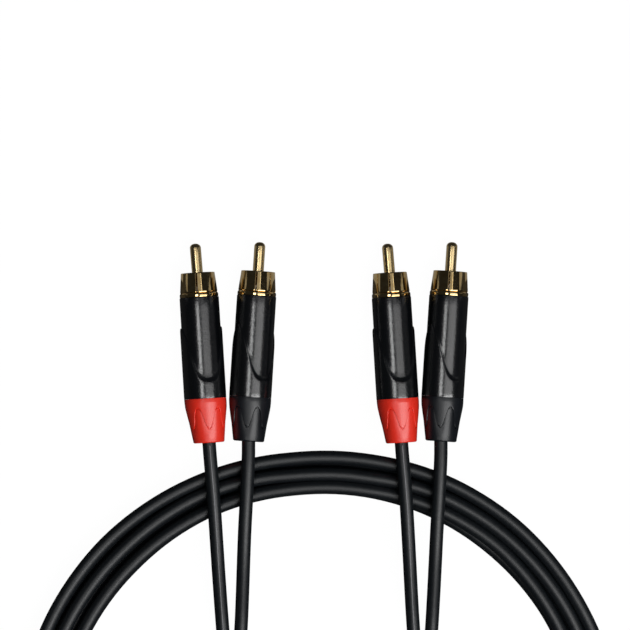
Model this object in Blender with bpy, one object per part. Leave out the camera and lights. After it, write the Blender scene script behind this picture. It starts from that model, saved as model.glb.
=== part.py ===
"""Stereo audio cable: a twin cord in three turns, with a screw-shell phono plug on each of its four ends.

The cable lies on the XY plane. +Y is the way the pins point, +X runs across the plugs and +Z is up.
The origin is under the middle of the four plugs.
"""

import math

import bmesh
import bpy
from mathutils import Matrix, Vector

MM = 0.001
CLEARANCE = 0.3 * MM

# Centre pin
PIN_DIAMETER = 3.2 * MM
PIN_REACH = 8.45 * MM
PIN_NECK_DIAMETER = 1.8 * MM
SOLDER_CUP_DIAMETER = 2.8 * MM
SOLDER_CUP_LENGTH = 5.0 * MM
SOLDER_CUP_BORE = 1.8 * MM
SOLDER_CUP_DEPTH = 3.6 * MM

# Collar, the ground contact
COLLAR_LENGTH = 6.85 * MM
COLLAR_MOUTH_DIAMETER = 9.75 * MM
COLLAR_REAR_DIAMETER = 10.85 * MM
COLLAR_BORE = 8.4 * MM
COLLAR_FLOOR = 1.6 * MM
FLANGE_DIAMETER = 11.15 * MM
FLANGE_LENGTH = 1.3 * MM
SLIT_WIDTH = 0.5 * MM
SLIT_ANGLE = math.radians(-4)
SHANK_DIAMETER = 9.0 * MM
SHANK_BORE = 6.6 * MM
SHANK_LENGTH = 6.5 * MM

# Insulator bush
INSULATOR_HEAD_DIAMETER = 7.6 * MM
INSULATOR_HEAD_LENGTH = 1.2 * MM
INSULATOR_BODY_LENGTH = 5.0 * MM

# Barrel
BARREL_LENGTH = 29.2 * MM
BARREL_FRONT_DIAMETER = 11.35 * MM
BARREL_REAR_DIAMETER = 12.2 * MM
BARREL_BORE = 10.0 * MM
BARREL_CHAMFER = 0.2 * MM
WAVE_CREST = 8.5 * MM
WAVE_TROUGH = 23.25 * MM
WAVE_LOBES = 2
WAVE_SHARPNESS = 1.4
WAVE_STEP_RUN = 0.35 * MM
WAVE_TROUGH_RUN = 1.15 * MM
WAVE_TROUGH_DIP = 0.08 * MM

# Boot
BOOT_LENGTH = 12.5 * MM
BOOT_FRONT_DIAMETER = 12.15 * MM
BOOT_REAR_DIAMETER = 8.75 * MM
BOOT_STRAIGHT = 0.9 * MM
BOOT_RIM = 0.6 * MM
SPIGOT_DIAMETER = 9.3 * MM
SPIGOT_LENGTH = 3.6 * MM
PETAL_CREST = 2.75 * MM
PETAL_TROUGH = 8.75 * MM
PETAL_COUNT = 6
PETAL_SHARPNESS = 0.965
PETAL_HEIGHT = 0.25 * MM
PETAL_STEP_RUN = 0.35 * MM

# Cord
CORD_DIAMETER = 3.9 * MM
CORE_DIAMETER = 1.2 * MM
TWIN_WEB = 0.2 * MM
FLOOR_GAP = 0.08 * MM
CROSSING_RISE = 0.75 * MM

# Cable clamp
CLAMP_WALL = 0.6 * MM
CLAMP_LENGTH = 4.5 * MM
CLAMP_SETBACK = 2.7 * MM
CLAMP_SPLIT = 2.0 * MM
TONGUE_WIDTH = 2.6 * MM

# Places of the plugs: the middle of each barrel's front rim, and how far each plug leans
NOSE_LIFT = 0.04 * MM
PAIR_SPACING = 55.5 * MM
PLUG_SPACING = 16.6 * MM
RED_FRONT_Y = 12.85 * MM
BLACK_FRONT_Y = 13.28 * MM
RED_LEAN = math.radians(3.5)
BLACK_LEAN = math.radians(-3.65)
RED_WAVE_TURN = math.radians(12)
BLACK_WAVE_TURN = math.radians(37)
RED_PETAL_TURN = math.radians(7)
BLACK_PETAL_TURN = math.radians(-7)

# Coil: the upper half is round and the lower half is flattened
COIL_CENTRE = (-0.9 * MM, -119.2 * MM)
COIL_RADIUS = 86.5 * MM
COIL_DEPTH = 66.3 * MM
TURN_PITCH = 4.6 * MM
TURNS = 3

TURNED_SIDES = 32
WAVE_SIDES = 36
PETAL_SIDES = 36
SMALL_SIDES = 16
COIL_STATIONS = 44
CORD_POINT_SPACING = 9.0 * MM

CORD_RADIUS = CORD_DIAMETER / 2
TWIN_PITCH = CORD_DIAMETER + TWIN_WEB
LAY_HEIGHT = CORD_RADIUS + FLOOR_GAP
COIL_TOP = LAY_HEIGHT + TWIN_PITCH + CORD_RADIUS
CROSSING_HEIGHT = COIL_TOP + CLEARANCE + CORD_RADIUS
JACKET_START = BARREL_LENGTH - SPIGOT_LENGTH - CLAMP_SETBACK - CLAMP_LENGTH
PLUG_BODY_LENGTH = BARREL_LENGTH + CLEARANCE + BOOT_LENGTH
NOSE_HEIGHT = BARREL_FRONT_DIAMETER / 2 + NOSE_LIFT
PLUG_TILT = math.asin((CROSSING_HEIGHT - CROSSING_RISE - NOSE_HEIGHT) / PLUG_BODY_LENGTH)

# Leads between boot and split: (across from the middle of the pair, along Y, share of the crossing height)
RED_LEAD = (
    (-5.10, -33.0, 0.97),
    (-4.60, -38.5, 1.01),
    (-4.02, -46.0, 1.02),
    (-3.50, -54.3, 0.95),
    (-3.00, -62.9, 0.79),
    (-2.50, -71.6, 0.50),
    (-1.97, -80.3, 0.20),
    (-1.37, -89.0, 0.055),
)
BLACK_LEAD = (
    (5.95, -33.0, 0.97),
    (5.70, -38.5, 1.01),
    (5.30, -46.0, 1.02),
    (4.85, -54.3, 0.95),
    (4.50, -62.9, 0.79),
    (4.17, -71.6, 0.50),
    (3.80, -80.3, 0.20),
    (3.35, -89.0, 0.055),
)

# Twin cord inside the coil: (x, y, share of the crossing height, turn of the red cord about the black in degrees)
TWIN_IN = (
    (-26.65, -97.0, 0.012, 180),
    (-26.65, -108.0, 0.00, 180),
    (-26.65, -121.0, 0.00, 180),
    (-26.50, -135.0, 0.00, 178),
    (-24.20, -148.7, 0.00, 168),
    (-17.30, -160.7, 0.00, 148),
    (-7.40, -169.1, 0.00, 124),
    (-3.30, -171.1, 0.00, 114),
)
TWIN_OUT = (
    (-20.5, -180.7, 1.00, 0),
    (-8.0, -181.1, 1.02, 0),
    (3.6, -177.9, 1.03, 0),
    (11.3, -173.5, 1.02, 0),
    (18.2, -167.2, 0.90, 0),
    (25.0, -156.4, 0.50, 0),
    (28.4, -141.0, 0.10, 0),
    (28.85, -125.0, 0.015, 0),
    (28.85, -108.0, 0.00, 0),
    (28.85, -97.0, 0.012, 0),
)


def clear_scene():
    for item in list(bpy.data.objects):
        bpy.data.objects.remove(item, do_unlink=True)


def finish(name, colour, roughness, metallic):
    material = bpy.data.materials.new(name)
    material.use_nodes = True
    shader = material.node_tree.nodes["Principled BSDF"]
    shader.inputs["Base Color"].default_value = (*colour, 1.0)
    shader.inputs["Roughness"].default_value = roughness
    shader.inputs["Metallic"].default_value = metallic
    return material


def add_object(name, mesh, material, parent):
    """Turn a bmesh into a named object under its plug's empty."""
    bmesh.ops.recalc_face_normals(mesh, faces=mesh.faces)
    data = bpy.data.meshes.new(name)
    mesh.to_mesh(data)
    mesh.free()
    data.shade_smooth()
    data.set_sharp_from_angle(angle=math.radians(35))
    data.materials.append(material)
    item = bpy.data.objects.new(name, data)
    bpy.context.collection.objects.link(item)
    item.parent = parent
    return item


def spun(profile, sides):
    """Revolve a profile of (radius, height) points about the local Z axis."""
    mesh = bmesh.new()
    points = [mesh.verts.new((radius, 0.0, height)) for radius, height in profile]
    pairs = list(zip(points, points[1:]))
    if profile[0][0] > 0:
        pairs.append((points[-1], points[0]))
    edges = [mesh.edges.new(pair) for pair in pairs]
    bmesh.ops.spin(
        mesh, geom=points + edges, cent=(0, 0, 0), axis=(0, 0, 1), angle=2 * math.pi, steps=sides, use_merge=True
    )
    bmesh.ops.remove_doubles(mesh, verts=mesh.verts, dist=0.001 * MM)
    return mesh


def lofted(rings):
    """Join closed rings of points one to the next, and the last to the first."""
    mesh = bmesh.new()
    loops = [[mesh.verts.new(point) for point in ring] for ring in rings]
    for near, far in zip(loops, loops[1:] + loops[:1]):
        for i, corner in enumerate(near):
            j = (i + 1) % len(near)
            mesh.faces.new((corner, near[j], far[j], far[i]))
    return mesh


def sleeve(rows, sides, turn):
    """Loft a sleeve from rows that each give (radius, height) at an angle from the plug's upper side."""
    rings = []
    for row in rows:
        ring = []
        for step in range(sides):
            angle = turn + 2 * math.pi * step / sides
            radius, height = row(angle)
            ring.append((radius * math.sin(angle), -radius * math.cos(angle), height))
        rings.append(ring)
    return lofted(rings)


def plain(radius, height):
    return lambda angle: (radius, height)


def cut(item, cutter):
    """Take a hidden cutter out of an object with a live Boolean."""
    cutter.hide_render = True
    cutter.display_type = "WIRE"
    boolean = item.modifiers.new("cut", "BOOLEAN")
    boolean.operation = "DIFFERENCE"
    boolean.solver = "EXACT"
    boolean.object = cutter


def box(name, size, centre, parent):
    mesh = bmesh.new()
    bmesh.ops.create_cube(mesh, size=1.0)
    bmesh.ops.scale(mesh, vec=size, verts=mesh.verts)
    bmesh.ops.translate(mesh, vec=centre, verts=mesh.verts)
    return add_object(name, mesh, FINISHES["gold"], parent)


def centre_pin(name, parent):
    """Round-nosed pin with a neck through the insulator and a hollow solder cup behind it."""
    radius = PIN_DIAMETER / 2
    neck = PIN_NECK_DIAMETER / 2
    cup = SOLDER_CUP_DIAMETER / 2
    tip = CLEARANCE + COLLAR_LENGTH + PIN_REACH
    shoulder = COLLAR_FLOOR + INSULATOR_HEAD_LENGTH + 2 * CLEARANCE
    cup_front = COLLAR_FLOOR - INSULATOR_BODY_LENGTH
    cup_rear = cup_front - SOLDER_CUP_LENGTH
    nose = [
        (radius * math.sin(turn), tip - radius * (1 - math.cos(turn)))
        for turn in (math.radians(90 * step / 4) for step in range(5))
    ]
    profile = nose + [
        (radius, shoulder),
        (neck, shoulder),
        (neck, cup_front),
        (cup, cup_front),
        (cup, cup_rear),
        (SOLDER_CUP_BORE / 2, cup_rear),
        (SOLDER_CUP_BORE / 2, cup_rear + SOLDER_CUP_DEPTH),
        (0.0, cup_rear + SOLDER_CUP_DEPTH),
    ]
    return add_object(name, spun(profile, SMALL_SIDES), FINISHES["gold"], parent)


def collar(name, parent):
    """Tapered cup with a rounded flange, four slits in its mouth and a shank inside the barrel."""
    mouth = CLEARANCE + COLLAR_LENGTH
    flange_front = CLEARANCE + FLANGE_LENGTH
    floor = COLLAR_FLOOR
    flange = FLANGE_DIAMETER / 2
    profile = [
        (COLLAR_BORE / 2, mouth),
        (COLLAR_MOUTH_DIAMETER / 2, mouth),
        (COLLAR_REAR_DIAMETER / 2, flange_front + 0.1 * MM),
        (flange - 0.1 * MM, flange_front - 0.1 * MM),
        (flange, flange_front - 0.4 * MM),
        (flange, CLEARANCE + 0.3 * MM),
        (flange - 0.15 * MM, CLEARANCE),
        (SHANK_DIAMETER / 2, CLEARANCE),
        (SHANK_DIAMETER / 2, -SHANK_LENGTH),
        (SHANK_BORE / 2, -SHANK_LENGTH),
        (SHANK_BORE / 2, floor),
        (COLLAR_BORE / 2, floor),
    ]
    item = add_object(name, spun(profile, TURNED_SIDES), FINISHES["gold"], parent)
    slit_length = mouth - flange_front
    for number in range(2):
        size = (SLIT_WIDTH, FLANGE_DIAMETER, slit_length)
        slit = box(f"{name}_slit_{number}", size, (0, 0, mouth - slit_length / 2 + CLEARANCE), parent)
        slit.rotation_euler.z = SLIT_ANGLE + number * math.pi / 2
        cut(item, slit)
    return item


def insulator(name, parent):
    """Plastic bush: a head that sits on the collar's floor and a body inside the shank."""
    bore = PIN_NECK_DIAMETER / 2 + CLEARANCE
    head = INSULATOR_HEAD_DIAMETER / 2
    body = SHANK_BORE / 2 - CLEARANCE
    seat = COLLAR_FLOOR + CLEARANCE
    profile = [
        (bore, seat + INSULATOR_HEAD_LENGTH),
        (head, seat + INSULATOR_HEAD_LENGTH),
        (head, seat),
        (body, seat),
        (body, seat - INSULATOR_BODY_LENGTH),
        (bore, seat - INSULATOR_BODY_LENGTH),
    ]
    return add_object(name, spun(profile, SMALL_SIDES), FINISHES["insulator"], parent)


def barrel(name, parent, turn):
    """Hollow shell whose outer step runs round it as a wave with two lobes."""
    front = BARREL_FRONT_DIAMETER / 2
    rear = BARREL_REAR_DIAMETER / 2
    bore = BARREL_BORE / 2
    thread = SHANK_DIAMETER / 2 + CLEARANCE

    def crest_share(angle):
        return ((1 - math.cos(WAVE_LOBES * (angle - turn))) / 2) ** WAVE_SHARPNESS

    def step_foot(angle):
        share = crest_share(angle)
        height = -WAVE_TROUGH + (WAVE_TROUGH - WAVE_CREST) * share
        return front - WAVE_TROUGH_DIP * (1 - share), height

    def step_top(angle):
        share = crest_share(angle)
        height = step_foot(angle)[1] - WAVE_STEP_RUN - WAVE_TROUGH_RUN * (1 - share)
        return rear, height

    rows = [
        plain(thread, 0.0),
        plain(front - BARREL_CHAMFER, 0.0),
        plain(front, -BARREL_CHAMFER),
        step_foot,
        step_top,
        plain(rear, BARREL_CHAMFER - BARREL_LENGTH),
        plain(rear - BARREL_CHAMFER, -BARREL_LENGTH),
        plain(bore, -BARREL_LENGTH),
        plain(bore, -SHANK_LENGTH - CLEARANCE),
        plain(thread, -SHANK_LENGTH - CLEARANCE),
    ]
    return add_object(name, sleeve(rows, WAVE_SIDES, turn), FINISHES["barrel"], parent)


def boot(name, parent, turn, material):
    """Tapered rubber sleeve with six raised petals, and a spigot that plugs into the barrel."""
    front = BOOT_FRONT_DIAMETER / 2
    rear = BOOT_REAR_DIAMETER / 2
    spigot = SPIGOT_DIAMETER / 2
    bore = CORD_RADIUS + CLEARANCE
    top = -BARREL_LENGTH - CLEARANCE

    def cone(behind):
        share = max(0.0, (behind - BOOT_STRAIGHT) / (BOOT_LENGTH - BOOT_STRAIGHT))
        return front + (rear - front) * share

    def petal_edge(angle):
        swing = math.asin(PETAL_SHARPNESS * math.cos(PETAL_COUNT * (angle - turn)))
        share = 0.5 + swing / (2 * math.asin(PETAL_SHARPNESS))
        return PETAL_CREST + (PETAL_TROUGH - PETAL_CREST) * share

    def petal_top(angle):
        behind = petal_edge(angle)
        return cone(behind) + PETAL_HEIGHT / 2, top - behind

    def petal_foot(angle):
        behind = petal_edge(angle) + PETAL_STEP_RUN
        return cone(behind) - PETAL_HEIGHT / 2, top - behind

    rows = [
        plain(bore, top + SPIGOT_LENGTH),
        plain(spigot, top + SPIGOT_LENGTH),
        plain(spigot, top),
        plain(front - BARREL_CHAMFER, top),
        plain(front, top - BARREL_CHAMFER),
        plain(front, top - BOOT_STRAIGHT),
        petal_top,
        petal_foot,
        plain(cone(BOOT_LENGTH - BOOT_RIM), top - BOOT_LENGTH + BOOT_RIM),
        plain(rear - BOOT_RIM, top - BOOT_LENGTH),
        plain(bore, top - BOOT_LENGTH),
    ]
    return add_object(name, sleeve(rows, PETAL_SIDES, turn), material, parent)


def cable_clamp(name, parent):
    """Split crimp ring round the jacket, on a flat tongue that comes from behind the shank."""
    inner = CORD_RADIUS + CLEARANCE
    outer = inner + CLAMP_WALL
    front = -JACKET_START - CLEARANCE
    ring = spun(
        [(inner, front), (outer, front), (outer, front - CLAMP_LENGTH), (inner, front - CLAMP_LENGTH)], SMALL_SIDES
    )
    item = add_object(name, ring, FINISHES["clamp"], parent)
    tongue_front = -SHANK_LENGTH - CLEARANCE
    tongue_length = tongue_front - front + CLAMP_LENGTH / 2
    size = (TONGUE_WIDTH, CLAMP_WALL, tongue_length)
    centre = (0, outer + CLAMP_WALL / 4, tongue_front - tongue_length / 2)
    tongue = box(f"{name}_tongue", size, centre, parent)
    for corner in tongue.data.vertices:
        if corner.co.z > centre[2]:
            corner.co.y += (SHANK_DIAMETER - SHANK_BORE) / 2
    tongue.hide_render = True
    tongue.display_type = "WIRE"
    join = item.modifiers.new("tongue", "BOOLEAN")
    join.operation = "UNION"
    join.solver = "EXACT"
    join.object = tongue
    split_size = (CLAMP_SPLIT, outer, CLAMP_LENGTH * 2)
    split = box(f"{name}_split", split_size, (0, -outer, front - CLAMP_LENGTH / 2), parent)
    cut(item, split)
    return item


def core_wire(name, parent):
    """Bare conductor between the solder cup and the end of the jacket."""
    cup_rear = COLLAR_FLOOR - INSULATOR_BODY_LENGTH - SOLDER_CUP_LENGTH
    front = cup_rear + SOLDER_CUP_DEPTH - CLEARANCE
    rear = -JACKET_START + CLEARANCE
    radius = CORE_DIAMETER / 2
    mesh = spun([(0.0, front), (radius, front), (radius, rear), (0.0, rear)], SMALL_SIDES // 2)
    return add_object(name, mesh, FINISHES["core"], parent)


def plug(name, middle_x, colour):
    """All the pieces of one plug, under an empty whose Z axis runs out through the pin."""
    red = colour == "red"
    lean = RED_LEAN if red else BLACK_LEAN
    front_y = RED_FRONT_Y if red else BLACK_FRONT_Y
    across = (-PLUG_SPACING if red else PLUG_SPACING) / 2
    frame = bpy.data.objects.new(f"{name}_plug", None)
    bpy.context.collection.objects.link(frame)
    frame.matrix_world = plug_place(middle_x + across, front_y, lean)
    centre_pin(f"{name}_centre_pin", frame)
    collar(f"{name}_collar", frame)
    insulator(f"{name}_insulator", frame)
    barrel(f"{name}_barrel", frame, RED_WAVE_TURN if red else BLACK_WAVE_TURN)
    boot(f"{name}_boot", frame, RED_PETAL_TURN if red else BLACK_PETAL_TURN, FINISHES[f"{colour}_boot"])
    cable_clamp(f"{name}_cable_clamp", frame)
    core_wire(f"{name}_core_wire", frame)
    return frame.matrix_world.copy()


def plug_place(x, front_y, lean):
    """The plug's Z axis leans in the plane and dips at the pin, because the cord lifts the boot."""
    place = Matrix.Translation((x, front_y, NOSE_HEIGHT))
    return place @ Matrix.Rotation(lean, 4, "Z") @ Matrix.Rotation(-math.pi / 2 - PLUG_TILT, 4, "X")


def even_points(points, spacing):
    """Points at an even spacing along the smooth curve through the given points."""
    times = [0.0]
    for near, far in zip(points, points[1:]):
        times.append(times[-1] + (far - near).length)
    last = len(points) - 1
    slopes = []
    for i in range(len(points)):
        before, after = max(i - 1, 0), min(i + 1, last)
        slopes.append((points[after] - points[before]) / (times[after] - times[before]))
    fine = []
    for i in range(last):
        span = times[i + 1] - times[i]
        for step in range(8):
            t = step / 8
            fine.append(
                points[i] * (2 * t**3 - 3 * t**2 + 1)
                + slopes[i] * (span * (t**3 - 2 * t**2 + t))
                + points[i + 1] * (3 * t**2 - 2 * t**3)
                + slopes[i + 1] * (span * (t**3 - t**2))
            )
    fine.append(points[-1])
    lengths = [0.0]
    for near, far in zip(fine, fine[1:]):
        lengths.append(lengths[-1] + (far - near).length)
    count = max(2, round(lengths[-1] / spacing))
    even = []
    index = 0
    for step in range(count + 1):
        target = lengths[-1] * step / count
        while index < len(fine) - 2 and lengths[index + 1] < target:
            index += 1
        share = (target - lengths[index]) / (lengths[index + 1] - lengths[index])
        even.append(fine[index].lerp(fine[index + 1], share))
    return even


def height_at(share):
    return LAY_HEIGHT + share * (CROSSING_HEIGHT - LAY_HEIGHT)


def twin_strand(stations, red):
    """One cord of the twin: beside its partner where the turn is 0 or 180 degrees, over it at 90."""
    strand = []
    for i, (x, y, share, turn) in enumerate(stations):
        before, after = stations[max(i - 1, 0)], stations[min(i + 1, len(stations) - 1)]
        heading = Vector((after[0] - before[0], after[1] - before[1])).normalized()
        side = Vector((-heading.y, heading.x, 0.0))
        angle = math.radians(turn)
        middle = Vector((x * MM, y * MM, height_at(share) + math.sin(angle) * TWIN_PITCH / 2))
        offset = (side * math.cos(angle) + Vector((0, 0, math.sin(angle)))) * (TWIN_PITCH / 2)
        strand.append(middle + offset if red else middle - offset)
    return strand


def lead_points(place, middle_x, shape):
    """From the jacket's end inside the plug, out through the boot and down to the split."""
    middle = (JACKET_START + PLUG_BODY_LENGTH) / 2
    inside = [place @ Vector((0, 0, -behind)) for behind in (JACKET_START, middle, PLUG_BODY_LENGTH)]
    return inside + [Vector((middle_x + x * MM, y * MM, height_at(share))) for x, y, share in shape]


def cord(name, points, material):
    """A round tube through the points, capped at both ends."""
    data = bpy.data.curves.new(name, "CURVE")
    data.dimensions = "3D"
    spline = data.splines.new("POLY")
    spline.points.add(len(points) - 1)
    for target, point in zip(spline.points, points):
        target.co = (*point, 1.0)
    data.bevel_depth = CORD_RADIUS
    data.bevel_resolution = 2
    data.use_fill_caps = True
    data.materials.append(material)
    item = bpy.data.objects.new(name, data)
    bpy.context.collection.objects.link(item)
    return item


def coil(name, material):
    """Closed oval ring of the outer shape of the turns: as wide as the turns side by side, a twin cord high."""
    width = (TURNS - 1) * TURN_PITCH + CORD_DIAMETER
    height = COIL_TOP - FLOOR_GAP
    section = []
    for corner_x, corner_z, start in ((1, 1, 0), (-1, 1, 90), (-1, -1, 180), (1, -1, 270)):
        for step in range(3):
            turn = math.radians(start + 45 * step)
            out = corner_x * (width / 2 - CORD_RADIUS) + CORD_RADIUS * math.cos(turn)
            up = corner_z * (height / 2 - CORD_RADIUS) + CORD_RADIUS * math.sin(turn)
            section.append((out, up + FLOOR_GAP + height / 2))
    middle = (TURNS - 1) * TURN_PITCH / 2
    rings = []
    for station in range(COIL_STATIONS):
        angle = 2 * math.pi * station / COIL_STATIONS
        ring = []
        for out, up in section:
            across = COIL_RADIUS - middle + out
            along = across if math.sin(angle) > 0 else COIL_DEPTH - middle + out
            x = COIL_CENTRE[0] + across * math.cos(angle)
            y = COIL_CENTRE[1] + along * math.sin(angle)
            ring.append((x, y, up))
        rings.append(ring)
    return add_object(name, lofted(rings), material, None)


def build():
    clear_scene()
    for side, middle_x, twin in (("left", -PAIR_SPACING / 2, TWIN_IN), ("right", PAIR_SPACING / 2, TWIN_OUT[::-1])):
        for colour, shape in (("red", RED_LEAD), ("black", BLACK_LEAD)):
            place = plug(f"{side}_{colour}", middle_x, colour)
            strand = twin_strand(twin, (colour == "red") == (side == "left"))
            points = even_points(lead_points(place, middle_x, shape) + strand, CORD_POINT_SPACING)
            cord(f"{side}_{colour}_lead", points, FINISHES["cord"])
    coil("coil", FINISHES["cord"])


FINISHES = {}


def make_finishes():
    FINISHES["gold"] = finish("gold_plate", (0.72, 0.52, 0.22), 0.18, 1.0)
    FINISHES["insulator"] = finish("white_plastic", (0.75, 0.74, 0.70), 0.45, 0.0)
    FINISHES["barrel"] = finish("black_paint", (0.012, 0.012, 0.014), 0.25, 0.0)
    FINISHES["red_boot"] = finish("red_rubber", (0.70, 0.035, 0.025), 0.5, 0.0)
    FINISHES["black_boot"] = finish("black_rubber", (0.025, 0.026, 0.028), 0.5, 0.0)
    FINISHES["clamp"] = finish("plated_brass", (0.70, 0.66, 0.55), 0.3, 1.0)
    FINISHES["core"] = finish("copper", (0.72, 0.36, 0.20), 0.3, 1.0)
    FINISHES["cord"] = finish("black_jacket", (0.012, 0.012, 0.013), 0.4, 0.0)


make_finishes()
build()
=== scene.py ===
"""The looks of a stereo audio cable: one twin cord wound three times round, with four phono plugs."""

import math

import bmesh
import bpy
import numpy as np
from mathutils import Matrix, Vector


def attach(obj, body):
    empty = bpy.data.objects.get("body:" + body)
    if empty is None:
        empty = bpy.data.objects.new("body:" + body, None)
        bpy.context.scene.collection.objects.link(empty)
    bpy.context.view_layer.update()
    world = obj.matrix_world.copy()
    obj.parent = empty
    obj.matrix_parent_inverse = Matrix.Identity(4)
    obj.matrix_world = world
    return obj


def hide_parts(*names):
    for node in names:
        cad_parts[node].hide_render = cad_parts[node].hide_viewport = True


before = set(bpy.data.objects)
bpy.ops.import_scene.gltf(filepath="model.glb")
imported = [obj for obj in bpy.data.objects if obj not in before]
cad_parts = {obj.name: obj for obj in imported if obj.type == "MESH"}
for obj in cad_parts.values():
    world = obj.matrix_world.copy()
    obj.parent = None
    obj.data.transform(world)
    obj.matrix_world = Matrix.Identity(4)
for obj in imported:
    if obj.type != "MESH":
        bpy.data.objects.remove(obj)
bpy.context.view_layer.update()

MM = 0.001
HAIR = 0.01 * MM
ENDS = ("left_red", "left_black", "right_red", "right_black")
INNER_SLOTS = {"insulator": "white_plastic", "cable_clamp": "plated_brass", "core_wire": "copper"}

# Plug sizes, from the barrel's front rim: the pin points along +Z and the cord leaves along -Z
CLEARANCE = 0.3 * MM
PIN_RADIUS = 1.6 * MM
PIN_REACH = 8.45 * MM
PIN_NOSE = 1.3 * MM
PIN_NOSE_ROUNDNESS = 0.9
PIN_TIP_FLAT = math.radians(8)
PIN_ROOT = 3.4 * MM
PIN_ROOT_EDGE = 0.15 * MM
COLLAR_LENGTH = 6.85 * MM
COLLAR_MOUTH = 4.875 * MM
COLLAR_REAR = 5.42 * MM
COLLAR_BORE = 4.2 * MM
COLLAR_FLOOR = 1.6 * MM
COLLAR_INNER_EDGE = 0.12 * MM
COLLAR_OUTER_EDGE = 0.14 * MM
FLANGE_RADIUS = 5.58 * MM
FLANGE_LENGTH = 1.45 * MM
FLANGE_GAP = 0.02 * MM
FLANGE_EDGE = 0.25 * MM
BEAD_RADIUS = 0.68 * MM
BEAD_GROOVE_DEPTH = 0.05 * MM
BEAD_GROOVE_DROP = 0.02 * MM
SHANK_RADIUS = 4.5 * MM
SHANK_BORE = 3.3 * MM
SHANK_LENGTH = 6.5 * MM
SLIT_WIDTH = 0.42 * MM
SLIT_ANGLE = math.radians(-4)
SLIT_DEPTH = 0.25 * MM
SLIT_BEVEL = 0.05 * MM
BARREL_LENGTH = 29.2 * MM
BARREL_FRONT = 5.675 * MM
BARREL_REAR = 6.1 * MM
BARREL_BORE = 5.0 * MM
BARREL_FRONT_EDGE = 0.08 * MM
BARREL_REAR_EDGE = 0.05 * MM
WAVE_CREST = 8.5 * MM
WAVE_TROUGH = 23.25 * MM
WAVE_SHARPNESS = 1.4
CRESCENT_WIDENING = 9
CRESCENT_FADE = 2.3
BOOT_LENGTH = 12.5 * MM
BOOT_GAP = HAIR
BOOT_FRONT = 6.075 * MM
BOOT_REAR = 4.485 * MM
BOOT_STRAIGHT = 0.9 * MM
BOOT_FRONT_EDGE = 0.06 * MM
BOOT_RIM = 0.55 * MM
BOOT_RIM_WIDTH = 0.5 * MM
BOOT_WAIST = 0.04 * MM
BOOT_BORE_EDGE = 0.25 * MM
SPIGOT_RADIUS = 4.65 * MM
SPIGOT_LENGTH = 3.6 * MM
PETAL_CREST = 2.45 * MM
PETAL_TROUGH = 8.3 * MM
PETAL_COUNT = 6
PETAL_ROUNDNESS = 0.5
PETAL_LIFT = 0.1 * MM
PETAL_GROOVE = 0.45 * MM
PLUG_BODY_LENGTH = BARREL_LENGTH + CLEARANCE + BOOT_LENGTH

# Modelling: corners round each turned piece, the circle it starts from and how near corners merge
PIN_SIDES = 64
COLLAR_SIDES = 96
SHELL_SIDES = 144
START_RADIUS = 5 * MM
MERGE_DISTANCE = 0.0005 * MM

# Extra rings that keep the shading of the straight walls even, by their distance from an edge
PIN_HOLD = 3 * MM
COLLAR_HOLDS = (0.3 * MM, 0.1 * MM)
BARREL_HOLDS = (3 * MM, 6 * MM)
BARREL_REAR_HOLD = 1.2 * MM
BOOT_HOLD = 1.6 * MM

# The barrel's step round its wave: (radius, how far behind the wave, how much more round the troughs)
WAVE_ROWS = (
    (BARREL_FRONT + 2 * HAIR, -1.6 * MM, 0.0),
    (BARREL_FRONT + 2 * HAIR, -0.12 * MM, 0.0),
    (BARREL_FRONT + 0.03 * MM, 0.0, 0.0),
    (BARREL_FRONT + 0.06 * MM, 0.05 * MM, 0.10 * MM),
    (BARREL_REAR - 0.08 * MM, 0.18 * MM, 0.92 * MM),
    (BARREL_REAR - 0.02 * MM, 0.24 * MM, 0.98 * MM),
    (BARREL_REAR, 0.36 * MM, 1.00 * MM),
    (BARREL_REAR, 1.4 * MM, 0.80 * MM),
)

# The boot's groove along its zigzag: (how far it stands off the cone, how far behind the zigzag)
PETAL_ROWS = (
    (PETAL_LIFT, -0.55 * MM),
    (PETAL_LIFT, -0.16 * MM),
    (PETAL_LIFT * 0.4, 0.0),
    (-PETAL_GROOVE, 0.07 * MM),
    (-PETAL_GROOVE, 0.24 * MM),
    (-PETAL_LIFT, 0.34 * MM),
    (-PETAL_LIFT * 0.6, 0.8 * MM),
)

# Places of the plugs
NOSE_LIFT = 0.04 * MM
NOSE_HEIGHT = BARREL_FRONT + NOSE_LIFT
PAIR_SPACING = 55.5 * MM
PLUG_SPACING = 16.6 * MM
PLUG_FRONT_Y = {"red": 12.85 * MM, "black": 13.28 * MM}
LEAN = {"red": math.radians(3.5), "black": math.radians(-3.65)}
BOOT_BEND = 0.026
PIN_BEND = {"red": 0.02, "black": 0.0}
WAVE_TURN = {"red": math.radians(16), "black": math.radians(37)}
PETAL_TURN = {"red": math.radians(7), "black": math.radians(-7)}

# Cord
CORD_DIAMETER = 3.9 * MM
CORD_RADIUS = CORD_DIAMETER / 2
TWIN_WEB = 0.2 * MM
WEB_RADIUS = 0.25 * MM
TWIN_PITCH = CORD_DIAMETER + TWIN_WEB
CORD_SPACING = 3 * MM
THIN_SPACING = 4 * MM
CURVE_SUBSTEPS = 8
CORD_ROUNDNESS = 10
THIN_ROUNDNESS = 4
SEAM_RADIUS = 0.16 * MM
SEAM_SINK = 0.04 * MM
SEAM_ANGLE = {"red": 6, "black": -125}
JACKET_START = 18.4 * MM
FLOOR_GAP = 0.08 * MM
CROSSING_RISE = 0.75 * MM
LAY_HEIGHT = CORD_RADIUS + FLOOR_GAP
CROSSING_HEIGHT = LAY_HEIGHT + TWIN_PITCH + 2 * CORD_RADIUS + CLEARANCE
PLUG_TILT = math.asin((CROSSING_HEIGHT - CROSSING_RISE - NOSE_HEIGHT) / PLUG_BODY_LENGTH)

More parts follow.
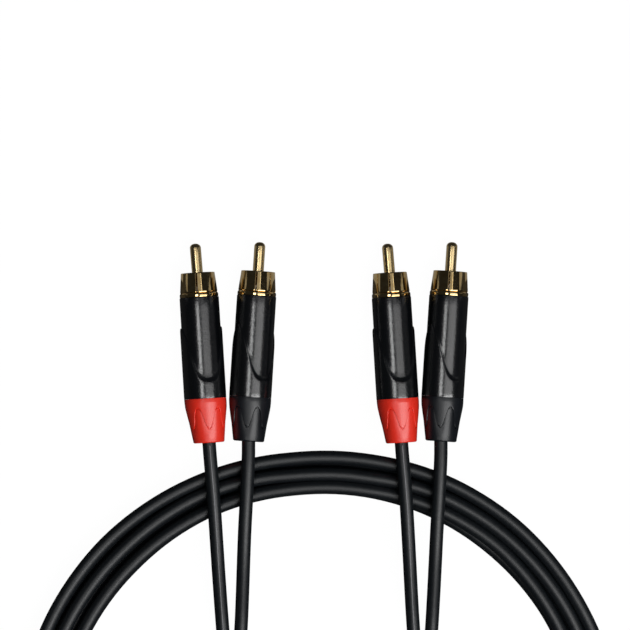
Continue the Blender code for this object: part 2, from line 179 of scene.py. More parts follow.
# Leads between boot and split: (across from the middle of the pair, along Y, share of the crossing height)
LEADS = {
    "red": (
        (-5.10, -33.0, 0.97),
        (-4.60, -38.5, 1.01),
        (-4.02, -46.0, 1.02),
        (-3.50, -54.3, 0.95),
        (-3.00, -62.9, 0.79),
        (-2.50, -71.6, 0.50),
        (-1.97, -80.3, 0.20),
        (-1.37, -89.0, 0.055),
    ),
    "black": (
        (5.95, -33.0, 0.97),
        (5.70, -38.5, 1.01),
        (5.30, -46.0, 1.02),
        (4.85, -54.3, 0.95),
        (4.50, -62.9, 0.79),
        (4.17, -71.6, 0.50),
        (3.80, -80.3, 0.20),
        (3.35, -89.0, 0.055),
    ),
}

# Twin cord inside the coil: (x, y, share of the crossing height, turn of red about black in degrees)
TWIN_IN = (
    (-26.65, -97.0, 0.012, 180),
    (-26.65, -108.0, 0.00, 180),
    (-26.65, -121.0, 0.00, 180),
    (-26.50, -135.0, 0.00, 178),
    (-24.20, -148.7, 0.00, 168),
    (-17.30, -160.7, 0.00, 148),
    (-7.40, -169.1, 0.00, 124),
    (-3.30, -171.1, 0.00, 114),
    (4.50, -173.9, 0.00, 103),
    (13.0, -175.0, 0.00, 98),
)
TWIN_OUT = (
    (-20.5, -180.7, 1.00, 0),
    (-8.0, -181.1, 1.02, 0),
    (3.6, -177.9, 1.03, 0),
    (11.3, -173.5, 1.02, 0),
    (18.2, -167.2, 0.90, 0),
    (25.0, -156.4, 0.50, 0),
    (28.4, -141.0, 0.10, 0),
    (28.85, -125.0, 0.015, 0),
    (28.85, -108.0, 0.00, 0),
    (28.85, -97.0, 0.012, 0),
)

# Coil, in mm: the upper half is round and the lower half is flattened. Its turns count from the inner one
COIL_CENTRE = (-0.9, -119.2)
COIL_FLATTENING = 20.2

# Angles from the coil's top, in degrees, and how far from the centre the upper cord lies there, in mm
TURN_ANGLES = (-180, -125, -90, -65, -45, -25, -5, 10, 25, 40, 60, 90, 125, 180)
UPPER_CORD = (
    (77.2, 77.2, 77.2, 77.3, 77.2, 77.3, 77.0, 77.3, 78.3, 78.7, 78.0, 77.4, 77.2, 77.2),
    (81.7, 81.7, 82.0, 82.4, 82.1, 82.3, 80.8, 81.0, 82.2, 82.5, 82.4, 81.8, 81.7, 81.7),
    (86.1, 86.3, 86.8, 87.1, 87.0, 86.3, 85.6, 85.9, 86.5, 86.7, 86.3, 86.1, 86.1, 86.1),
)

# How far aside of the upper cord the lower one lies there, in mm
LOWER_CORD_SHIFT = (
    (-0.4, -0.2, 0.0, -0.3, -0.6, -0.5, -0.6, -0.65, -1.5, -1.9, -0.85, -0.6, -0.4, -0.4),
    (-0.4, -0.2, -0.9, -1.5, -1.5, -1.5, -0.5, -0.5, -1.3, -1.6, -1.3, -0.6, -0.4, -0.4),
    (-0.4, -0.2, -0.7, -1.1, -1.45, -0.7, -1.35, -1.5, -1.2, -1.4, -1.2, -0.6, -0.4, -0.4),
)

# Angles counted on through the turns, in degrees
FIRST_ANGLE = -72
STATION_STEP = 4
LANE_CHANGES = (245, 605)
LANE_CHANGE_ANGLE = 40
CLIMB_START = 905
CLIMB_MIDDLE = 945
CLIMB_END = 972

# Materials: detail of the noise, and the part of it over which the gloss and the colour change
GRAIN_DETAIL = 3.0
GLOSS_RANGE = (0.3, 0.7)
TINT_RANGE = (0.35, 0.65)

# Table: how it glows to the camera and in reflections, and how bright its matt part is in the light
FLOOR_SIZE = 6
FLOOR_GLOW = 0.98
FLOOR_SHINE = 0.01
FLOOR_MATT = 0.035

# Pale card on the table beside the pins
CARD_SIZE = (110 * MM, 14 * MM)
CARD_PLACE = (0, 25 * MM, 0.02 * MM)
CARD_GLOW = 0.22

# Soft lights: (name, radiance, left, right, near, far), in degrees from straight up over the plugs
LIGHTS = (
    ("narrow_light", 4.8, -20, -6, -6, 10),
    ("front_light", 1.35, 6, 49, -3, 10),
    ("rear_light", 7.0, 6, 50, -28, -5),
    ("near_light", 4.6, 8, 24, -46, -30),
    ("middle_card", 0.35, -6, 16, 15, 25),
    ("line_card", 1.5, 18, 21, 15, 25),
    ("right_card", 0.3, 66, 89, 9, 17),
    ("left_card", 0.25, -89, -74, 8, 17),
)
LIGHT_DISTANCE = 1.6
AIR_COLOUR = (0.9, 0.95, 1.0, 1.0)
AIR_GLOW = 0.02

# Camera: it stands over a point beyond the pins and sees 182 mm of the plane of the plugs
VIEW_WIDTH = 181.6 * MM
VIEW_CENTRE = (-2.60 * MM, 7.95 * MM)
PLUG_MIDDLE_HEIGHT = 8.0 * MM
CAMERA_HEIGHT = 1.2
CAMERA_Y = 95 * MM
SENSOR_WIDTH = 36
CAMERA_NEAR = 0.05


def deselect():
    bpy.ops.object.select_all(action="DESELECT")


def smooth_step(value):
    value = min(max(value, 0.0), 1.0)
    return value * value * (3 - 2 * value)


# Route of the cord


def plug_place(end):
    """The plug's Z axis leans in the plane and dips at the pin, because the cord lifts the boot."""
    side, colour = end.split("_")
    middle_x = -PAIR_SPACING / 2 if side == "left" else PAIR_SPACING / 2
    across = -PLUG_SPACING / 2 if colour == "red" else PLUG_SPACING / 2
    place = Matrix.Translation((middle_x + across, PLUG_FRONT_Y[colour], NOSE_HEIGHT))
    return place @ Matrix.Rotation(LEAN[colour], 4, "Z") @ Matrix.Rotation(-math.pi / 2 - PLUG_TILT, 4, "X")


def bent(end, height, bend):
    """The plug's place with what lies beyond a height pushed a little to the side."""
    hinge = Matrix.Translation((0, 0, height))
    return plug_place(end) @ hinge @ Matrix.Shear("XY", 4, (bend, 0)) @ hinge.inverted()


def boot_place(end):
    """The soft boot follows its cord a little to the side."""
    return bent(end, -BARREL_LENGTH, -BOOT_BEND)


def even_points(points, spacing):
    """Points at an even spacing along the smooth curve through the given points."""
    times = [0.0]
    for near, far in zip(points, points[1:]):
        times.append(times[-1] + (far - near).length)
    last = len(points) - 1
    slopes = []
    for i in range(len(points)):
        before, after = max(i - 1, 0), min(i + 1, last)
        slopes.append((points[after] - points[before]) / (times[after] - times[before]))
    fine = []
    for i in range(last):
        span = times[i + 1] - times[i]
        for step in range(CURVE_SUBSTEPS):
            t = step / CURVE_SUBSTEPS
            fine.append(
                points[i] * (2 * t**3 - 3 * t**2 + 1)
                + slopes[i] * (span * (t**3 - 2 * t**2 + t))
                + points[i + 1] * (3 * t**2 - 2 * t**3)
                + slopes[i + 1] * (span * (t**3 - t**2))
            )
    fine.append(points[-1])
    lengths = [0.0]
    for near, far in zip(fine, fine[1:]):
        lengths.append(lengths[-1] + (far - near).length)
    count = max(2, round(lengths[-1] / spacing))
    even = []
    index = 0
    for step in range(count + 1):
        target = lengths[-1] * step / count
        while index < len(fine) - 2 and lengths[index + 1] < target:
            index += 1
        share = (target - lengths[index]) / (lengths[index + 1] - lengths[index])
        even.append(fine[index].lerp(fine[index + 1], share))
    return even


def height_at(share):
    return LAY_HEIGHT + share * (CROSSING_HEIGHT - LAY_HEIGHT)


def across_lanes(table, lane, from_top):
    """Value of a table at an angle from the coil's top, between the turns where a cord changes lane."""
    values = [np.interp(from_top, TURN_ANGLES, row) for row in table]
    return float(np.interp(lane, (0, 1, 2), values))


def coil_station(angle):
    """Middle of the twin cord at an angle counted on from +X towards +Y through all the turns."""
    lane = sum(smooth_step((angle - start) / LANE_CHANGE_ANGLE) for start in LANE_CHANGES)
    from_top = (90 - angle + 180) % 360 - 180
    shift = across_lanes(LOWER_CORD_SHIFT, lane, from_top)
    lower = across_lanes(UPPER_CORD, lane, from_top) + shift
    turn, share = math.degrees(math.acos(shift * MM / TWIN_PITCH)), 0.0
    if angle > CLIMB_START:
        climb = smooth_step((angle - CLIMB_START) / (CLIMB_MIDDLE - CLIMB_START))
        fall = smooth_step((angle - CLIMB_MIDDLE) / (CLIMB_END - CLIMB_MIDDLE))
        turn += (90 - turn) * climb - 90 * fall
        share = 0.5 * climb if fall == 0 else 1 - 0.5 * math.sin(math.radians(turn))
    across = lower - TWIN_PITCH / MM / 2 * math.cos(math.radians(turn))
    radians = math.radians(angle)
    along = across if math.sin(radians) > 0 else across - COIL_FLATTENING
    x = COIL_CENTRE[0] + across * math.cos(radians)
    y = COIL_CENTRE[1] + along * math.sin(radians)
    return (x, y, share, turn)


def twin_stations():
    turns = [coil_station(angle) for angle in range(FIRST_ANGLE, CLIMB_END + 1, STATION_STEP)]
    return list(TWIN_IN) + turns + list(TWIN_OUT)


def twin_strand(stations, side_sign):
    """One cord of the twin: sign 1 is the red channel, -1 the black and 0 the line between them."""
    strand = []
    for i, (x, y, share, turn) in enumerate(stations):
        before, after = stations[max(i - 1, 0)], stations[min(i + 1, len(stations) - 1)]
        heading = Vector((after[0] - before[0], after[1] - before[1])).normalized()
        side = Vector((-heading.y, heading.x, 0.0))
        angle = math.radians(turn)
        middle = Vector((x * MM, y * MM, height_at(share) + math.sin(angle) * TWIN_PITCH / 2))
        offset = (side * math.cos(angle) + Vector((0, 0, math.sin(angle)))) * (TWIN_PITCH / 2)
        strand.append(middle + offset * side_sign)
    return strand


def lead_points(end):
    """From the jacket's end inside the plug, out through the boot and down to the split."""
    side, colour = end.split("_")
    place = plug_place(end)
    middle_x = -PAIR_SPACING / 2 if side == "left" else PAIR_SPACING / 2
    middle = (JACKET_START + PLUG_BODY_LENGTH) / 2
    inside = [place @ Vector((0, 0, -behind)) for behind in (JACKET_START, middle)]
    inside.append(boot_place(end) @ Vector((0, 0, -PLUG_BODY_LENGTH)))
    return inside + [Vector((middle_x + x * MM, y * MM, height_at(share))) for x, y, share in LEADS[colour]]


# Modelling helpers


def place_ring(piece, row):
    """Move the selected ring to the row's (radius, height) at each angle from the plug's upper side."""
    mesh = bmesh.from_edit_mesh(piece.data)
    for corner in mesh.verts:
        if corner.select:
            angle = math.atan2(corner.co.x, -corner.co.y)
            radius, height = row(angle) if callable(row) else row
            corner.co = (radius * math.sin(angle), -radius * math.cos(angle), height)
    bmesh.update_edit_mesh(piece.data)


def turned(name, rows, sides, closed):
    """A circle extruded ring by ring; a closed piece is a sleeve whose last ring meets the first."""
    deselect()
    bpy.ops.mesh.primitive_circle_add(vertices=sides, radius=START_RADIUS)
    piece = bpy.context.object
    piece.name = name
    bpy.ops.object.mode_set(mode="EDIT")
    place_ring(piece, rows[0])
    if not closed:
        bpy.ops.mesh.edge_face_add()
    for row in rows[1:]:
        bpy.ops.mesh.extrude_region_move()
        place_ring(piece, row)
    if closed:
        bpy.ops.mesh.extrude_region_move()
        place_ring(piece, rows[0])
    bpy.ops.mesh.select_all(action="SELECT")
    bpy.ops.mesh.remove_doubles(threshold=MERGE_DISTANCE)
    bpy.ops.mesh.normals_make_consistent(inside=False)
    bpy.ops.object.mode_set(mode="OBJECT")
    return piece


def use(piece, kind, **settings):
    """Add a modifier, set it and apply it."""
    bpy.context.view_layer.objects.active = piece
    modifier = piece.modifiers.new(kind.lower(), kind)
    for key, value in settings.items():
        setattr(modifier, key, value)
    bpy.ops.object.modifier_apply(modifier=modifier.name)


def smooth(piece, degrees):
    deselect()
    piece.select_set(True)
    bpy.context.view_layer.objects.active = piece
    bpy.ops.object.shade_smooth_by_angle(angle=math.radians(degrees))


def arc(centre_radius, centre_height, size, start, end, steps):
    """Rows round a rounded edge: angles in degrees from straight out towards the pin."""
    rows = []
    for step in range(steps + 1):
        angle = math.radians(start + (end - start) * step / steps)
        rows.append((centre_radius + size * math.cos(angle), centre_height + size * math.sin(angle)))
    return rows


def fit_to_plug(pattern, name, place, turn, finish, slot, *nodes):
    """A copy of a plug piece, moved into its own plug, that stands for the CAD nodes."""
    piece = bpy.data.objects.new(name, pattern.data.copy())
    bpy.context.collection.objects.link(piece)
    piece.data.transform(place @ Matrix.Rotation(turn, 4, "Z"))
    piece.data.materials.clear()
    piece.data.materials.append(finish)
    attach(piece, "root")
    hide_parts(*nodes)


# Plug pieces, each modelled once about the Z axis


def model_pin():
    tip = CLEARANCE + COLLAR_LENGTH + PIN_REACH
    steps = 8
    rows = []
    for step in range(steps + 1):
        turn = PIN_TIP_FLAT + (math.pi / 2 - PIN_TIP_FLAT) * step / steps
        radius = PIN_RADIUS * math.sin(turn) ** PIN_NOSE_ROUNDNESS
        rows.append((radius, tip - PIN_NOSE * (1 - math.cos(turn))))
    rows += [
        (PIN_RADIUS, tip - PIN_HOLD),
        (PIN_RADIUS, PIN_ROOT + PIN_ROOT_EDGE),
        (PIN_RADIUS - PIN_ROOT_EDGE, PIN_ROOT),
    ]
    pin = turned("pin_pattern", rows, PIN_SIDES, closed=False)
    bpy.context.view_layer.objects.active = pin
    bpy.ops.object.mode_set(mode="EDIT")
    bpy.ops.mesh.select_all(action="DESELECT")
    bpy.ops.mesh.select_non_manifold()
    bpy.ops.mesh.edge_face_add()
    bpy.ops.mesh.select_all(action="SELECT")
    bpy.ops.mesh.normals_make_consistent(inside=False)
    bpy.ops.object.mode_set(mode="OBJECT")
    smooth(pin, 30)
    return pin


def model_collar():
    mouth = CLEARANCE + COLLAR_LENGTH
    bead_front = FLANGE_GAP + FLANGE_LENGTH
    taper = (COLLAR_REAR - COLLAR_MOUTH) / (mouth - bead_front)
    far_hold, near_hold = COLLAR_HOLDS
    edge, rear_edge = COLLAR_OUTER_EDGE, FLANGE_EDGE
    rows = [(COLLAR_BORE, mouth - COLLAR_INNER_EDGE), (COLLAR_BORE + COLLAR_INNER_EDGE, mouth)]
    rows += arc(COLLAR_MOUTH - edge, mouth - edge, edge, 90, 5, 4)
    rows += [
        (COLLAR_MOUTH + far_hold * taper, mouth - far_hold),
        (COLLAR_REAR - far_hold * taper, bead_front + far_hold),
        (COLLAR_REAR - near_hold * taper, bead_front + near_hold),
        (COLLAR_REAR - BEAD_GROOVE_DEPTH, bead_front - BEAD_GROOVE_DROP),
    ]
    rows += arc(FLANGE_RADIUS - BEAD_RADIUS, bead_front - BEAD_RADIUS, BEAD_RADIUS, 65, 0, 8)
    rows += arc(FLANGE_RADIUS - rear_edge, FLANGE_GAP + rear_edge, rear_edge, 0, -90, 4)
    rows += [
        (SHANK_RADIUS, FLANGE_GAP),
        (SHANK_RADIUS, -SHANK_LENGTH),
        (SHANK_BORE, -SHANK_LENGTH),
        (SHANK_BORE, COLLAR_FLOOR),
        (COLLAR_BORE, COLLAR_FLOOR),
    ]
    collar = turned("collar_pattern", rows, COLLAR_SIDES, closed=True)
    slit_end = bead_front - SLIT_DEPTH
    for number in range(2):
        deselect()
        bpy.ops.mesh.primitive_cube_add(
            size=1,
            location=(0, 0, slit_end + COLLAR_LENGTH / 2),
            rotation=(0, 0, SLIT_ANGLE + number * math.pi / 2),
            scale=(SLIT_WIDTH, 3 * FLANGE_RADIUS, COLLAR_LENGTH),
        )
        cutter = bpy.context.object
        use(collar, "BOOLEAN", operation="DIFFERENCE", solver="EXACT", object=cutter)
        bpy.data.objects.remove(cutter, do_unlink=True)
    sharp = math.radians(50)
    use(collar, "BEVEL", width=SLIT_BEVEL, segments=2, limit_method="ANGLE", angle_limit=sharp)
    smooth(collar, 35)
    return collar


def crest_share(angle):
    return ((1 - math.cos(2 * angle)) / 2) ** WAVE_SHARPNESS


def wave(radius, behind, crescent):
    """A ring that follows the barrel's wave, some way behind it and further behind round the troughs."""

    def row(angle):
        share = crest_share(angle)
        height = -WAVE_TROUGH + (WAVE_TROUGH - WAVE_CREST) * share
        widened = crescent * (1 + CRESCENT_WIDENING * share) * max(0.0, 1 - CRESCENT_FADE * share)
        return radius, height - behind - widened

    return row


def model_barrel():
    front_edge, rear_edge = BARREL_FRONT_EDGE, BARREL_REAR_EDGE
    rows = [(SHANK_RADIUS + CLEARANCE, 0.0)]
    rows += arc(BARREL_FRONT - front_edge, -front_edge, front_edge, 90, 0, 4)
    rows += [(BARREL_FRONT + number * HAIR, -hold) for number, hold in enumerate(BARREL_HOLDS, 1)]
    rows += [wave(*row) for row in WAVE_ROWS]
    rows.append((BARREL_REAR + HAIR, -BARREL_LENGTH + BARREL_REAR_HOLD))
    rows += arc(BARREL_REAR - rear_edge, -BARREL_LENGTH + rear_edge, rear_edge, 0, -85, 4)
    rows += [
        (BARREL_BORE, -BARREL_LENGTH),
        (BARREL_BORE, -SHANK_LENGTH - CLEARANCE),
        (SHANK_RADIUS + CLEARANCE, -SHANK_LENGTH - CLEARANCE),
    ]
    barrel = turned("barrel_pattern", rows, SHELL_SIDES, closed=True)
    smooth(barrel, 32)
    return barrel


def cone(behind):
    share = max(0.0, (behind - BOOT_STRAIGHT) / (BOOT_LENGTH - BOOT_STRAIGHT))
    return BOOT_FRONT + (BOOT_REAR - BOOT_FRONT) * share


def petal(lift, behind):
    """A ring that follows the boot's zigzag: lift is how far it stands off the cone."""

    def row(angle):
        swing = math.cos(PETAL_COUNT * angle)
        swing += (math.sin(math.pi / 2 * swing) - swing) * PETAL_ROUNDNESS
        share = (1 + swing) / 2
        distance = PETAL_CREST + (PETAL_TROUGH - PETAL_CREST) * share + behind
        return cone(distance) + lift, -BARREL_LENGTH - CLEARANCE - distance

    return row


def model_boot():
    top = -BARREL_LENGTH - CLEARANCE
    bottom = top - BOOT_LENGTH
    bore = CORD_RADIUS + CLEARANCE
    front = -BARREL_LENGTH - BOOT_GAP
    edge = BOOT_FRONT_EDGE
    rows = [(bore, top + SPIGOT_LENGTH), (SPIGOT_RADIUS, top + SPIGOT_LENGTH), (SPIGOT_RADIUS, front)]
    rows += arc(BOOT_FRONT - edge, front - edge, edge, 85, 0, 4)
    rows += [(BOOT_FRONT + HAIR, top - BOOT_STRAIGHT), (BOOT_FRONT, top - BOOT_STRAIGHT)]
    rows += [petal(*row) for row in PETAL_ROWS]
    rows.append((cone(BOOT_LENGTH - BOOT_HOLD) - BOOT_WAIST, bottom + BOOT_HOLD))
    rows += arc(BOOT_REAR - BOOT_RIM_WIDTH, bottom + BOOT_RIM, BOOT_RIM, 10, -86, 6)
    rows += [(bore + BOOT_BORE_EDGE, bottom), (bore, bottom + BOOT_BORE_EDGE)]
    boot = turned("boot_pattern", rows, SHELL_SIDES, closed=True)
    smooth(boot, 32)
    return boot


# Materials


def new_finish(name, colour, roughness, metallic, ior):
    finish = bpy.data.materials.new(name)
    finish.use_nodes = True
    shader = finish.node_tree.nodes["Principled BSDF"]
    shader.inputs["Base Color"].default_value = (*colour, 1.0)
    shader.inputs["Roughness"].default_value = roughness
    shader.inputs["Metallic"].default_value = metallic
    shader.inputs["IOR"].default_value = ior
    return finish, finish.node_tree, shader


def add_grain(tree, shader, scale, bump, roughness, stretch=(1, 1, 1)):
    """Fine noise in the piece's own coordinates, in its gloss and as a shallow bump."""
    nodes, links = tree.nodes, tree.links
    place = nodes.new("ShaderNodeTexCoord")
    mapping = nodes.new("ShaderNodeMapping")
    mapping.inputs["Scale"].default_value = stretch
    noise = nodes.new("ShaderNodeTexNoise")
    noise.inputs["Scale"].default_value = scale
    noise.inputs["Detail"].default_value = GRAIN_DETAIL
    links.new(place.outputs["Object"], mapping.inputs["Vector"])
    links.new(mapping.outputs["Vector"], noise.inputs["Vector"])
    gloss = nodes.new("ShaderNodeMapRange")
    for kind, values in (("From", GLOSS_RANGE), ("To", roughness)):
        for limit, value in zip(("Min", "Max"), values):
            gloss.inputs[f"{kind} {limit}"].default_value = value
    links.new(noise.outputs["Fac"], gloss.inputs["Value"])
    links.new(gloss.outputs["Result"], shader.inputs["Roughness"])
    relief = nodes.new("ShaderNodeBump")
    relief.inputs["Strength"].default_value = 1.0
    relief.inputs["Distance"].default_value = bump
    links.new(noise.outputs["Fac"], relief.inputs["Height"])
    links.new(relief.outputs["Normal"], shader.inputs["Normal"])
    return noise


def tint(tree, shader, noise, dark, light):
    """Vary the colour a little with the grain."""
    ramp = tree.nodes.new("ShaderNodeValToRGB")
    for element, position, colour in zip(ramp.color_ramp.elements, TINT_RANGE, (dark, light)):
        element.position = position
        element.color = (*colour, 1.0)
    tree.links.new(noise.outputs["Fac"], ramp.inputs["Fac"])
    tree.links.new(ramp.outputs["Color"], shader.inputs["Base Color"])


def make_finishes():
    finishes = {}
    gold, tree, shader = new_finish("polished_gold", (0.80, 0.58, 0.27), 0.08, 1.0, 1.5)
    noise = add_grain(tree, shader, 900, 0.002 * MM, (0.06, 0.10))
    tint(tree, shader, noise, (0.74, 0.51, 0.22), (0.86, 0.65, 0.33))
    finishes["gold_plate"] = gold
    satin, tree, shader = new_finish("satin_gold", (0.80, 0.60, 0.30), 0.24, 1.0, 1.5)
    noise = add_grain(tree, shader, 1500, 0.0004 * MM, (0.23, 0.25), stretch=(1, 0.1, 1))
    tint(tree, shader, noise, (0.78, 0.59, 0.30), (0.84, 0.65, 0.35))
    finishes["satin_gold"] = satin
    paint, tree, shader = new_finish("satin_black_paint", (0.002, 0.0025, 0.0035), 0.2, 0.0, 1.9)
    add_grain(tree, shader, 2200, 0.028 * MM, (0.17, 0.24))
    finishes["black_paint"] = paint
    red, tree, shader = new_finish("red_boot_rubber", (0.86, 0.030, 0.014), 0.36, 0.0, 1.6)
    noise = add_grain(tree, shader, 3500, 0.012 * MM, (0.32, 0.40))
    tint(tree, shader, noise, (0.81, 0.025, 0.011), (0.91, 0.036, 0.017))
    finishes["red_rubber"] = red
    black, tree, shader = new_finish("black_boot_rubber", (0.004, 0.004, 0.005), 0.4, 0.0, 1.5)
    noise = add_grain(tree, shader, 3500, 0.012 * MM, (0.35, 0.43))
    tint(tree, shader, noise, (0.003, 0.004, 0.006), (0.005, 0.007, 0.010))
    finishes["black_rubber"] = black
    jacket, tree, shader = new_finish("black_cord_jacket", (0.004, 0.004, 0.005), 0.45, 0.0, 1.5)
    noise = add_grain(tree, shader, 1800, 0.006 * MM, (0.40, 0.50))
    tint(tree, shader, noise, (0.002, 0.0035, 0.005), (0.004, 0.006, 0.008))
    finishes["black_jacket"] = jacket
    # Painted highlight: the seam along the split web's ridge is pale grey, so it shows as a light line on
    # the black lead
    torn, tree, shader = new_finish("torn_web_edge", (0.20, 0.20, 0.21), 0.6, 0.0, 1.5)
    add_grain(tree, shader, 2500, 0.01 * MM, (0.5, 0.7))
    finishes["torn_web"] = torn
    plastic, tree, shader = new_finish("white_insulator_plastic", (0.75, 0.74, 0.70), 0.4, 0.0, 1.5)
    add_grain(tree, shader, 1200, 0.004 * MM, (0.35, 0.45))
    finishes["white_plastic"] = plastic
    plate, tree, shader = new_finish("satin_plated_brass", (0.70, 0.66, 0.55), 0.3, 1.0, 1.5)
    add_grain(tree, shader, 1500, 0.004 * MM, (0.25, 0.35))
    finishes["plated_brass"] = plate
    copper, tree, shader = new_finish("copper_strand", (0.72, 0.36, 0.20), 0.3, 1.0, 1.5)
    add_grain(tree, shader, 2500, 0.01 * MM, (0.25, 0.40), stretch=(1, 0.1, 1))
    finishes["copper"] = copper
    return finishes


# Pieces of the cable


def round_curve(name, points, radius, finish):
    """A round rod along the points, capped at both ends."""
    data = bpy.data.curves.new(name, "CURVE")
    data.dimensions = "3D"
    spline = data.splines.new("POLY")
    spline.points.add(len(points) - 1)
    for target, point in zip(spline.points, points):
        target.co = (*point, 1.0)
    data.bevel_depth = radius
    data.bevel_resolution = CORD_ROUNDNESS if radius == CORD_RADIUS else THIN_ROUNDNESS
    data.use_fill_caps = True
    data.materials.append(finish)
    piece = bpy.data.objects.new(name, data)
    bpy.context.collection.objects.link(piece)
    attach(piece, "root")
    return piece


def seam_points(end, degrees):
    """Where the edge left by the split web runs along a split lead, at an angle from the lead's upper side.
    """
    points = even_points(lead_points(end), THIN_SPACING)
    out = [point for point in points if point.y < plug_place(end).translation.y - PLUG_BODY_LENGTH]
    turn = math.radians(degrees)
    offset = Vector((math.sin(turn), 0.0, math.cos(turn))) * (CORD_RADIUS - SEAM_SINK)
    return [point + offset for point in out]


def build_cords(finish, torn):
    stations = twin_stations()
    middle = even_points(twin_strand(stations, 0), THIN_SPACING)
    web = round_curve("twin_web", middle, WEB_RADIUS, finish)
    for colour, sign in (("red", 1), ("black", -1)):
        left, right = f"left_{colour}", f"right_{colour}"
        route = lead_points(left) + twin_strand(stations, sign) + lead_points(right)[::-1]
        points = even_points(route, CORD_SPACING)
        piece = round_curve(f"{colour}_channel_cord", points, CORD_RADIUS, finish)
        for end in (left, right):
            edge = seam_points(end, SEAM_ANGLE[colour])
            # The seam rods wear the pale grey of the painted highlight
            round_curve(f"{end}_seam", edge, SEAM_RADIUS, torn)
        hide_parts(f"{left}_lead", f"{right}_lead", *(["coil"] if colour == "red" else []))
        length = sum((far - near).length for near, far in zip(points, points[1:]))
        print(colour, "cord", round(length, 4), "m", len(points), "points")


def build_plugs(finishes):
    pin, collar, barrel, boot = model_pin(), model_collar(), model_barrel(), model_boot()
    gold, satin_gold, paint = finishes["gold_plate"], finishes["satin_gold"], finishes["black_paint"]
    for end in ENDS:
        colour = end.split("_")[1]
        place = plug_place(end)
        pin_place = bent(end, PIN_ROOT, -PIN_BEND[colour])
        fit_to_plug(pin, f"{end}_pin", pin_place, 0, satin_gold, "gold_plate", f"{end}_centre_pin")
        fit_to_plug(collar, f"{end}_ground_collar", place, 0, gold, "gold_plate", f"{end}_collar")
        fit_to_plug(barrel, f"{end}_shell", place, WAVE_TURN[colour], paint, "black_paint", f"{end}_barrel")
        rubber, turn = f"{colour}_rubber", PETAL_TURN[colour]
        fit_to_plug(boot, f"{end}_sleeve", boot_place(end), turn, finishes[rubber], rubber, f"{end}_boot")
        for part, slot in INNER_SLOTS.items():
            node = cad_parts[f"{end}_{part}"]
            node.data.materials.clear()
            node.data.materials.append(finishes[slot])
    for pattern in (pin, collar, barrel, boot):
        bpy.data.objects.remove(pattern, do_unlink=True)


# Studio


def build_floor():
    """White table: its glow shows to the camera and in metal, and its matt part takes the shadows."""
    deselect()
    bpy.ops.mesh.primitive_plane_add(size=FLOOR_SIZE, location=(0, 0, 0))
    floor = bpy.context.object
    floor.name = "studio_floor"
    finish = bpy.data.materials.new("white_table")
    finish.use_nodes = True
    nodes, links = finish.node_tree.nodes, finish.node_tree.links
    nodes.clear()
    matt = nodes.new("ShaderNodeBsdfDiffuse")
    matt.inputs["Color"].default_value = (FLOOR_MATT, FLOOR_MATT, FLOOR_MATT, 1.0)
    glow = nodes.new("ShaderNodeEmission")
    rays = nodes.new("ShaderNodeLightPath")
    shine = nodes.new("ShaderNodeMath")
    shine.operation = "MAXIMUM"
    dim = nodes.new("ShaderNodeMath")
    dim.operation = "MULTIPLY"
    dim.inputs[1].default_value = FLOOR_SHINE
    seen = nodes.new("ShaderNodeMath")
    seen.operation = "MULTIPLY_ADD"
    seen.inputs[1].default_value = FLOOR_GLOW
    both = nodes.new("ShaderNodeAddShader")
    out = nodes.new("ShaderNodeOutputMaterial")
    links.new(rays.outputs["Is Glossy Ray"], shine.inputs[0])
    links.new(rays.outputs["Is Transmission Ray"], shine.inputs[1])
    links.new(shine.outputs[0], dim.inputs[0])
    links.new(rays.outputs["Is Camera Ray"], seen.inputs[0])
    links.new(dim.outputs[0], seen.inputs[2])
    links.new(seen.outputs[0], glow.inputs["Strength"])
    links.new(matt.outputs[0], both.inputs[0])
    links.new(glow.outputs[0], both.inputs[1])
    links.new(both.outputs[0], out.inputs["Surface"])
    floor.data.materials.append(finish)


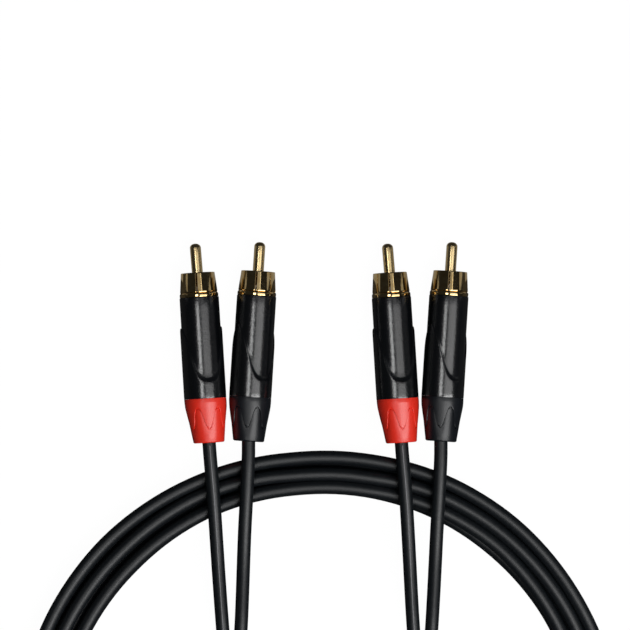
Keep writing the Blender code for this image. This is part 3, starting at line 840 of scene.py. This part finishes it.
def soft_light(name, radiance, left, right, near, far):
    """A soft box over the plugs, between two angles across and two along, in degrees from straight up."""
    across, along = math.radians((left + right) / 2), math.radians((near + far) / 2)
    turn = Matrix.Rotation(across, 4, "Y") @ Matrix.Rotation(-along, 4, "X")
    data = bpy.data.lights.new(name, "AREA")
    data.shape = "RECTANGLE"
    data.size = 2 * LIGHT_DISTANCE * math.tan(math.radians(right - left) / 2)
    data.size_y = 2 * LIGHT_DISTANCE * math.tan(math.radians(far - near) / 2)
    data.energy = radiance * math.pi * data.size * data.size_y
    lamp = bpy.data.objects.new(name, data)
    bpy.context.collection.objects.link(lamp)
    lamp.location = turn @ Vector((0, 0, LIGHT_DISTANCE))
    lamp.rotation_euler = turn.to_euler()
    lamp.visible_camera = False


def table_card():
    """A pale card on the table beside the pins and collars, which the gold shows at its sides."""
    data = bpy.data.lights.new("table_card", "AREA")
    data.shape = "RECTANGLE"
    data.size, data.size_y = CARD_SIZE
    data.energy = CARD_GLOW * math.pi * data.size * data.size_y
    card = bpy.data.objects.new("table_card", data)
    bpy.context.collection.objects.link(card)
    card.location = CARD_PLACE
    card.rotation_euler = (math.pi, 0, 0)
    card.visible_camera = False


def build_studio():
    build_floor()
    for light in LIGHTS:
        soft_light(*light)
    table_card()
    world = bpy.data.worlds.new("studio_air")
    world.use_nodes = True
    world.node_tree.nodes["Background"].inputs["Color"].default_value = AIR_COLOUR
    world.node_tree.nodes["Background"].inputs["Strength"].default_value = AIR_GLOW
    bpy.context.scene.world = world
    data = bpy.data.cameras.new("camera")
    data.sensor_width = SENSOR_WIDTH
    down, aside = CAMERA_HEIGHT - PLUG_MIDDLE_HEIGHT, CAMERA_Y - VIEW_CENTRE[1]
    data.lens = SENSOR_WIDTH * math.hypot(down, aside) / VIEW_WIDTH
    data.clip_start = CAMERA_NEAR
    camera = bpy.data.objects.new("camera", data)
    bpy.context.collection.objects.link(camera)
    camera.location = (VIEW_CENTRE[0], CAMERA_Y, CAMERA_HEIGHT)
    camera.rotation_euler = (-math.atan2(aside, down), 0, 0)
    bpy.context.scene.camera = camera
    bpy.context.scene.view_settings.view_transform = "Standard"


deselect()
FINISHES = make_finishes()
build_studio()
# The second finish is the seam's painted highlight
build_cords(FINISHES["black_jacket"], FINISHES["torn_web"])
build_plugs(FINISHES)
